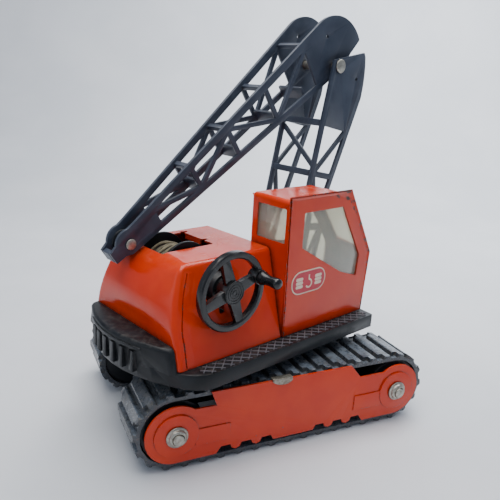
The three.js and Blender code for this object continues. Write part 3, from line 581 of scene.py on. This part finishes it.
def house_skin():
    bm = bmesh.new()
    levels = [HOUSE_FOOT, 68, 73, 78, 82, *range(84, 110, 2), 110, 111, 112, 113, 114, 115, 115.8, 116.5]
    levels += [117, 117.4, 117.8, 118.2, 118.5, 118.7, 118.85, HOUSE_TOP]
    rings = [[bm.verts.new((x, y, z)) for x, y in house_outline(z)] for z in levels]
    count = len(rings[0])
    for low, high in zip(rings, rings[1:]):
        for i in range(count):
            j = (i + 1) % count
            bm.faces.new((low[i], low[j], high[j], high[i]))
    bm.faces.new(rings[-1])
    return make("house_skin", bm, enamel, smooth=None)


def seam_rows(side, section):
    """A strip up the side of the house just ahead of its rear corner, as rows of (ahead, proud) points."""
    bm = bmesh.new()
    rows = []
    for z in (66, 72, 78, 84, 88, 92, 96, 100, 104, 108, 112, 114.5):
        near = house_rear(house_half(z), z) + 5.8 + 0.2 * math.sin(z * 0.35)
        points = [(near + ahead, side * (house_half(z) + proud), z) for ahead, proud in section]
        rows.append([bm.verts.new(point) for point in points])
    for low, high in zip(rows, rows[1:]):
        for i in range(len(section)):
            j = (i + 1) % len(section)
            bm.faces.new((low[i], low[j], high[j], high[i]))
    bm.faces.new(rows[0])
    bm.faces.new(rows[-1])
    return bm


def seam_groove(side):
    return seam_rows(side, [(-0.5, -0.6), (0, -0.6), (0, 1), (-0.5, 1)])


def make_house():
    skin = house_skin()
    wall = skin.modifiers.new("wall", "SOLIDIFY")
    wall.thickness = SHEET * MM
    wall.offset = -1
    wall.use_even_offset = True
    settle(skin, smooth=None)
    opening = rounded([(OPENING_REAR, OPENING_RIGHT), (OPENING_FRONT, OPENING_RIGHT),
                       (OPENING_FRONT, OPENING_LEFT), (OPENING_REAR, OPENING_LEFT)], 1.6)
    cutters = [make("cutter", prism(opening, 105, 130, "Z"), enamel)]
    for y in (3.2, OPENING_LEFT):
        notch = [(-45, y - 2.2), (-39.6, y - 1.0), (-39.6, y + 0.6), (-45, y + 2.2)]
        cutters.append(make("cutter", prism(notch, 112, 130, "Z"), enamel))
    hub = arc(WINCH_X, WINCH_Z, HUB_HOLE_R, 0, 352.5, 47)
    cutters.append(make("cutter", prism(hub, -60, -20), enamel))
    key = rounded([(WINCH_X - 1.7, WINCH_Z - 15), (WINCH_X + 1.7, WINCH_Z - 15), (WINCH_X + 1.7, WINCH_Z - 8),
                   (WINCH_X - 1.7, WINCH_Z - 8)], 0.8)
    cutters.append(make("cutter", prism(key, -60, -20), enamel))
    cutters.append(make("cutter", prism(arc(WINCH_X, WINCH_Z, 4, 0, 345, 23), 20, 60), enamel))
    cutters += [make("cutter", seam_groove(side), enamel) for side in (-1, 1)]
    carve(skin, *cutters)
    weld = skin.modifiers.new("weld", "WELD")
    weld.merge_threshold = 0.01 * MM
    soften(skin, 0.22, 2, 40)
    settle(skin, smooth=40)
    keep_flats_flat(skin)
    settled_on(skin, "superstructure", "orange_paint", "house_shell")

    outline = [(-43.1, 5.6), (-42.3, 5.6), (-42.3, 21.4), (-43.1, 21.4)]
    lip = prism(outline, HOUSE_TOP - 3.6, HOUSE_TOP - 0.5, "Z")
    settled_on(make("house_opening_lip", lip, enamel), "superstructure", "orange_paint")


def make_house_seams():
    """The overlap of the side panel over the rear one, on both sides: a thin raised strip of sheet."""
    for side, word in ((-1, "right"), (1, "left")):
        strip = seam_rows(side, [(0, -0.2), (0.05, 0.4), (2.2, 0.3), (7, -0.2)])
        settled_on(make(f"house_seam_{word}", strip, enamel, 40), "superstructure", "orange_paint")


# ---- cab -------------------------------------------------------------------------------------
def cab_windows():
    side = rounded([(-7, 120), (33, 97.5), (51, 91.5), (52, 107.5), (29.5, 142.6), (-7, 142.6)], 1.6)
    cutters = [make("cutter", prism(side, CAB_RIGHT - 5, CAB_LEFT + 5), enamel)]
    rear = rounded([(-42.6, 123), (-17.4, 123), (-17.4, 144.8), (-42.6, 144.8)], 1.4)
    cutters.append(make("cutter", prism(rear, CAB_REAR - 5, CAB_REAR + 5, "X"), enamel))
    top = Vector((CAB_ROOF_FRONT, CAB_TOP))
    along = Vector((CAB_NOSE, CAB_NOSE_Z)) - top
    reach = along.length
    along.normalize()
    across = Vector((-along.y, along.x))
    spans = ((4.5, -4), (reach - 3, -4), (reach - 3, 4), (4.5, 4))
    corners = [top + along * a + across * b for a, b in spans]
    screen = prism([tuple(c) for c in corners], CAB_RIGHT + 4.5, CAB_LEFT - 4.5)
    cutters.append(make("cutter", screen, enamel))
    return cutters


def make_cab():
    profile = [(CAB_REAR, HOUSE_FOOT), (CAB_FOOT_FRONT, HOUSE_FOOT), (CAB_NOSE, CAB_NOSE_Z),
               (CAB_ROOF_FRONT, CAB_TOP), (CAB_REAR, CAB_TOP)]
    bm = prism(profile, CAB_RIGHT, CAB_LEFT)
    bm.normal_update()
    foot = [e for e in bm.edges if all(v.co.z < HOUSE_FOOT + 0.1 for v in e.verts)]
    rest = [e for e in bm.edges if e not in foot]
    bmesh.ops.bevel(bm, geom=rest, offset=2.6, segments=6, profile=0.5, affect="EDGES", clamp_overlap=True)
    bm.normal_update()
    floor = [f for f in bm.faces if all(v.co.z < HOUSE_FOOT + 0.05 for v in f.verts)]
    bmesh.ops.delete(bm, geom=floor, context="FACES")
    cab = make("cab_skin", bm, enamel, smooth=None)
    wall = cab.modifiers.new("wall", "SOLIDIFY")
    wall.thickness = SHEET * MM
    wall.offset = -1
    wall.use_even_offset = True
    settle(cab, smooth=None)
    carve(cab, *cab_windows())
    soften(cab, 0.2, 2, 40)
    settle(cab, smooth=36)
    keep_flats_flat(cab)
    settled_on(cab, "superstructure", "orange_paint", "cab_shell")


def make_cab_seams():
    """Folded flaps at the roof's rear corners."""
    for y, word, way in ((CAB_RIGHT, "right", 1), (CAB_LEFT, "left", -1)):
        fold = ((1.2, 149.2), (7.0, 144.9), (6.6, 144.5), (0.8, 148.6))
        flap = [(y + way * inward, z) for inward, z in fold]
        piece = make(f"roof_fold_{word}", prism(flap, CAB_REAR - 0.25, CAB_REAR + 0.3, "X"), enamel)
        settled_on(piece, "superstructure", "orange_paint")


# ---- tracks ----------------------------------------------------------------------------------
def track_point(s, r):
    """A point of the track's loop in its own X and Z: s along the outer line, r from the axle line."""
    straight = 2 * AXLE_X
    bend = math.pi * BELT_R
    d = s % (2 * (straight + bend))
    if d < straight:
        return -AXLE_X + d, AXLE_Z - r
    if d < straight + bend:
        a = (d - straight) / BELT_R - math.pi / 2
        return AXLE_X + r * math.cos(a), AXLE_Z + r * math.sin(a)
    if d < 2 * straight + bend:
        return AXLE_X - (d - straight - bend), AXLE_Z + r
    a = (d - 2 * straight - bend) / BELT_R + math.pi / 2
    return -AXLE_X + r * math.cos(a), AXLE_Z + r * math.sin(a)


def track_belt():
    """A belt whose lugs rise as a saw tooth, with a step cut out of each lug's ends."""
    bm = bmesh.new()
    length = 2 * (2 * AXLE_X + math.pi * BELT_R)
    pitch = length / LUG_COUNT
    root = BELT_R - LUG_HEIGHT
    half = BELT_WIDTH / 2
    bands = [-half, -half + 0.8, -half + 4.2, -half + 4.5, half - 4.5, half - 4.2, half - 0.8, half]
    crest = [(0.90, BELT_R), (0.96, BELT_R - 0.5)]
    middle_lug = [(0.0, root), (0.24, root), (0.29, BELT_R - 0.35), (0.36, BELT_R), *crest]
    end_lug = [(0.0, root), (0.30, root), (0.50, root + 0.25), (0.56, BELT_R), *crest]
    rim_lug = [(0.0, BELT_R - 2.0), (0.40, BELT_R - 2.0), (0.62, BELT_R - 1.5), (0.72, BELT_R - 0.2),
               (0.84, BELT_R - 0.2), (0.95, BELT_R - 1.6)]
    profiles = [rim_lug, end_lug, end_lug, middle_lug, middle_lug, end_lug, end_lug, rim_lug]
    rows = []
    for y, profile in zip(bands, profiles):
        row = []
        for lug in range(LUG_COUNT):
            for share, r in profile:
                x, z = track_point((lug + share) * pitch, r)
                row.append(bm.verts.new((x, y, z)))
        rows.append(row)
    count = len(rows[0])
    inner = []
    for y in (-half, half):
        ring = []
        for lug in range(LUG_COUNT):
            for share, _ in middle_lug:
                x, z = track_point((lug + share) * pitch, BELT_INNER_R + 0.2)
                ring.append(bm.verts.new((x, y, z)))
        inner.append(ring)
    loops = [inner[0], *rows, inner[1], inner[0]]
    for near, far in zip(loops, loops[1:]):
        for i in range(count):
            j = (i + 1) % count
            bm.faces.new((near[i], near[j], far[j], far[i]))
    return bm


def make_tracks():
    for side, word in ((-1, "right"), (1, "left")):
        bm = track_belt()
        turn = Matrix.Rotation(TRACK_YAW, 4, "Z") @ Matrix.Translation((0, side * BELT_MIDDLE, 0))
        if side < 0:
            turn = turn @ Matrix.Rotation(math.pi, 4, "Z")
        bmesh.ops.transform(bm, matrix=turn, verts=bm.verts)
        belt = make(f"track_loop_{word}", bm, rubber, smooth=28)
        settled_on(belt, "undercarriage", "black_rubber", f"track_belt_{word}")


# ---- winch cord ------------------------------------------------------------------------------
def make_cord():
    """Layers of wound turns with a few loose ones lying across them."""
    radius = CORD_R
    path = []
    layers = ((CORE_R + 1.1, 1), (CORE_R + 2.8, -1))
    room = CORD_LEFT - CORD_RIGHT - 2 * radius
    for r, way in layers:
        turns = int(room / (2 * radius))
        steps = turns * 22
        for i in range(steps):
            share = i / steps
            a = 2 * math.pi * turns * share
            y = CORD_RIGHT + radius + room * (share if way > 0 else 1 - share)
            wander = 0.3 * math.sin(a * 0.37 + r) + 0.16 * math.sin(a * 1.7)
            path.append((WINCH_X + (r + wander) * math.cos(a), y, WINCH_Z + (r + wander) * math.sin(a)))
    cord = tube("winch_cord_turns", path, radius, cotton, sides=8)
    settled_on(cord, "winch", "cotton_cord", "winch_cord")
    for n in range(4):
        loop = []
        middle = CORD_RIGHT + 4 + n * 4.6
        for i in range(40):
            a = 2 * math.pi * i / 40
            r = CORE_R + 3.9 + 0.5 * math.sin(2 * a + n)
            y = middle + 2.3 * math.sin(a + n * 1.3) + 1.0 * math.sin(2 * a + n)
            loop.append((WINCH_X + r * math.cos(a), y, WINCH_Z + r * math.sin(a)))
        piece = tube(f"winch_cord_loose_{n + 1}", loop, 0.9, cotton, sides=8, closed=True)
        settled_on(piece, "winch", "cotton_cord")


# ---- running boards --------------------------------------------------------------------------
def make_tread(word, x0, x1, y0, y1):
    """Crossing raised ridges on the deck between two X and two Y values."""
    bm = bmesh.new()
    pitch = 6.6
    slope = 0.85
    run = (y1 - y0) / slope
    for way in (1, -1):
        start = x0 - run
        while start < x1:
            ends = []
            for y, x in ((y0, start if way > 0 else start + run), (y1, start + run if way > 0 else start)):
                ends.append(Vector((x, y, 0)))
            a, b = ends
            if a.x > b.x:
                a, b = b, a
            lo = max(0.0, (x0 - a.x) / (b.x - a.x))
            hi = min(1.0, (x1 - a.x) / (b.x - a.x))
            if hi - lo > 0.06:
                p, q = a.lerp(b, lo), a.lerp(b, hi)
                across = (q - p).normalized().cross(Vector((0, 0, 1))) * 0.42
                foot = [p - across, p + across, q + across, q - across]
                verts = [bm.verts.new(v + Vector((0, 0, DECK_TOP - 0.1))) for v in foot]
                crest = [bm.verts.new(v + Vector((0, 0, DECK_TOP + 0.55))) for v in (p, q)]
                bm.faces.new(verts)
                bm.faces.new((verts[0], verts[3], crest[1], crest[0]))
                bm.faces.new((verts[1], verts[2], crest[1], crest[0]))
                bm.faces.new((verts[0], verts[1], crest[0]))
                bm.faces.new((verts[3], verts[2], crest[1]))
            start += pitch
    piece = make(f"tread_{word}", bm, tread_moulding, smooth=None)
    settled_on(piece, "superstructure", "black_plastic")


# ---- badge -----------------------------------------------------------------------------------
def make_badge():
    """A plain rounded sticker with a crane-hook sign in place of any lettering."""
    place = Matrix.Translation(BADGE_PLACE)

    def pill(r, half, y0, y1, name, material):
        outline = arc(half, 0, r, -90, 90, 16) + arc(-half, 0, r, 90, 270, 16)
        bm = prism(outline, y0, y1)
        bmesh.ops.transform(bm, matrix=place, verts=bm.verts)
        return make(name, bm, material)

    y = CAB_RIGHT
    base = pill(7.5, 8, y - 0.28, y - 0.05, "badge_edge", badge_cream)
    settled_on(base, "superstructure", "sticker", "door_badge")
    field = pill(6.7, 8, y - 0.36, y - 0.2, "badge_field", badge_red)
    settled_on(field, "superstructure", "sticker")
    hook = [(0, 4.4), (0, 1.2), *arc(0, -1.4, 2.6, 80, -150, 20)]
    path = [(x, y - 0.36, z) for x, z in hook]
    sign = tube("badge_hook", path, 0.62, badge_cream, sides=6)
    bmesh_place(sign, place, y - 0.36, 0.18)
    settled_on(sign, "superstructure", "sticker")
    for n, x in enumerate((-8.6, 8.6)):
        for row in (-2.4, 0, 2.4):
            corners = [(x - 2.6, row - 0.5), (x + 2.6, row - 0.5), (x + 2.6, row + 0.5), (x - 2.6, row + 0.5)]
            bar = rounded(corners, 0.45)
            bm = prism(bar, y - 0.42, y - 0.3)
            bmesh.ops.transform(bm, matrix=place, verts=bm.verts)
            piece = make(f"badge_bar_{n + 1}_{int(row * 10 + 30)}", bm, badge_cream)
            settled_on(piece, "superstructure", "sticker")


def bmesh_place(piece, place, plane, keep):
    """Flattens a piece's mesh towards a plane across Y and moves it to its place."""
    for v in piece.data.vertices:
        v.co.y = plane * MM + (v.co.y - plane * MM) * keep
        v.co.x += place.translation.x * MM
        v.co.z += place.translation.z * MM


# ---- crank wheel details ---------------------------------------------------------------------
def make_wheel_rings():
    y = WHEEL_Y - 3.1
    for n, r in enumerate((1.5, 3.1, 4.7, 6.2)):
        ring = []
        for k in range(48):
            a = 2 * math.pi * k / 48
            ring.append((WINCH_X + r * math.cos(a), y, WINCH_Z + r * math.sin(a)))
        piece = tube(f"crank_hub_ring_{n + 1}", ring, 0.34, glossy_moulding, sides=8, closed=True)
        settled_on(piece, "winch", "black_plastic")


# ---- stage and light -------------------------------------------------------------------------
def make_stage():
    bm = bmesh.new()
    rows = [(FLOOR_NEAR, 0), (FLOOR_FAR, 0)]
    for degrees in range(6, 91, 6):
        a = math.radians(degrees)
        rows.append((FLOOR_FAR + SWEEP_R * math.sin(a), SWEEP_R - SWEEP_R * math.cos(a)))
    rows.append((FLOOR_FAR + SWEEP_R, BACKDROP_TOP))
    heading = math.radians(CAMERA_HEADING)
    ahead = Vector((math.cos(heading), math.sin(heading), 0))
    side = Vector((-ahead.y, ahead.x, 0))
    grid = []
    for d, h in rows:
        line = ahead * d + Vector((0, 0, h))
        grid.append([bm.verts.new(line + side * w) for w in (-FLOOR_HALF, FLOOR_HALF)])
    for near, far in zip(grid, grid[1:]):
        bm.faces.new((near[0], near[1], far[1], far[0]))
    backdrop = make("studio_backdrop", bm, studio_surface(), smooth=60)


def area_light(name, place, size, power, tint=(1, 1, 1), target=(0, 0, 90)):
    light = bpy.data.lights.new(name, "AREA")
    light.shape = "RECTANGLE"
    light.size, light.size_y = size[0] * MM, size[1] * MM
    light.energy = power
    light.color = tint
    lamp = bpy.data.objects.new(name, light)
    bpy.context.scene.collection.objects.link(lamp)
    lamp.location = Vector(place) * MM
    aim = (Vector(target) - Vector(place)).normalized()
    lamp.rotation_euler = aim.to_track_quat("-Z", "Y").to_euler()


def light_studio():
    world = bpy.data.worlds.new("studio")
    bpy.context.scene.world = world
    world.use_nodes = True
    sky = world.node_tree.nodes["Background"]
    sky.inputs["Color"].default_value = rgb(196, 208, 228)
    sky.inputs["Strength"].default_value = 0.55
    area_light("ceiling_softbox", (-60, 60, 900), (900, 700), 9.0, (1.0, 0.985, 0.96))
    area_light("front_softbox", (-350, -450, 900), (500, 500), 1.0, (1.0, 0.98, 0.96))
    area_light("left_softbox", (-900, 250, 420), (700, 700), 1.0, (0.94, 0.97, 1.0))
    area_light("backdrop_light", (500, 0, 900), (600, 600), 14.0, (0.95, 0.98, 1.0), (1000, 250, 400))


# ---- assembly --------------------------------------------------------------------------------
tread_moulding = black_moulding("tread_moulding", (96, 92, 98), 0.3, 0.6, worn=0.9)
badge_red = printed_sticker("badge_red", (196, 40, 60), 0.5)
badge_cream = printed_sticker("badge_cream", (236, 214, 190), 0.4)

add_camera()
make_stage()
light_studio()
make_house()
make_house_seams()
make_cab()
make_cab_seams()
make_tracks()
make_cord()
make_badge()
make_wheel_rings()
make_tread("right", TREAD_REAR, TREAD_FRONT, -DECK_HALF + TREAD_EDGE, -TREAD_INSIDE)
make_tread("left", TREAD_REAR, TREAD_FRONT, TREAD_INSIDE, DECK_HALF - TREAD_EDGE)

for side in ("right", "left"):
    dress(f"side_plate_{side}", enamel, 0.7, 3)
    for end in ("front", "rear"):
        dress(f"{end}_cap_nut_{side}", steel, 0.2)
        dress(f"{end}_track_wheel_{side}", moulding, 0.3)
    dress(f"lower_boom_frame_{side}", boom_moulding, 0.4, flats=False)
    dress(f"upper_boom_frame_{side}", boom_moulding, 0.4, flats=False)
    dress(f"plate_hanger_{side}", soiled_shaded_steel, 0.25, flats=False)
for node in ("front_axle", "rear_axle", "winch_shaft"):
    dress(node, steel, 0.5)
for node in ("slew_pivot", "shaft_push_nut", "knob_pin", "boom_foot_pin", "knuckle_pin", "tip_pin"):
    dress(node, steel, 0.2)
dress("deck", moulding, 0.3, 2, flats=False, angle=55)
for node in ("chassis", "turntable_ring", "boom_bracket"):
    dress(node, moulding, 0.6, 3)
for node in nodes:
    if "_tie_" in node or node in ("lower_rear_brace", "boom_nose"):
        dress(node, boom_moulding, 0.35)
dress("winch_drum", moulding, 0.3)
dress("tip_sheave", moulding, 0.3)
dress("crank_wheel", glossy_moulding, 0.8, 3)
dress("crank_knob", glossy_moulding, 0.3)
dress("cab_glazing", window, 0.2)
